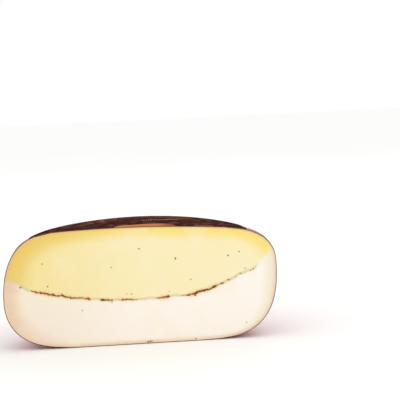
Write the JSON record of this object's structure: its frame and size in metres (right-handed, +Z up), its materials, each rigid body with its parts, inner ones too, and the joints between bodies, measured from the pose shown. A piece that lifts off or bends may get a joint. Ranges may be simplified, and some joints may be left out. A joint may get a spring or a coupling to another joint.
{
  "type": "half wheel of layered gouda cheese",
  "caption": "Half a wheel of gouda lying on its base, cut face upright, showing yellow curd in a bowl of white curd with a coffee seam, brown waxed rind and a round dark label on top.",
  "frame": {"origin": "on the surface the half wheel stands on, under the middle of its box", "axes": "+Z up from the base, +X to the right along the cut face, which looks along -Y"},
  "size_m": [0.25, 0.125, 0.111],
  "materials": {
    "yellow_curd": "smooth cut gouda curd, faintly moist, pale yellow and deeper towards the rind",
    "white_curd": "smooth cut white curd, faintly moist, cream turning pinkish tan towards the rind",
    "rind": "semi-gloss brown-red cheese coating with fine creases",
    "ground_coffee": "dark brown damp coffee grains with an orange-brown stain",
    "label_paper": "dark brown printed paper, satin"
  },
  "bodies": {
    "root": {"yellow_layer": "yellow_curd", "white_layer": "white_curd", "coffee_seam": "ground_coffee", "label": "label_paper"}
  },
  "joints": []
}
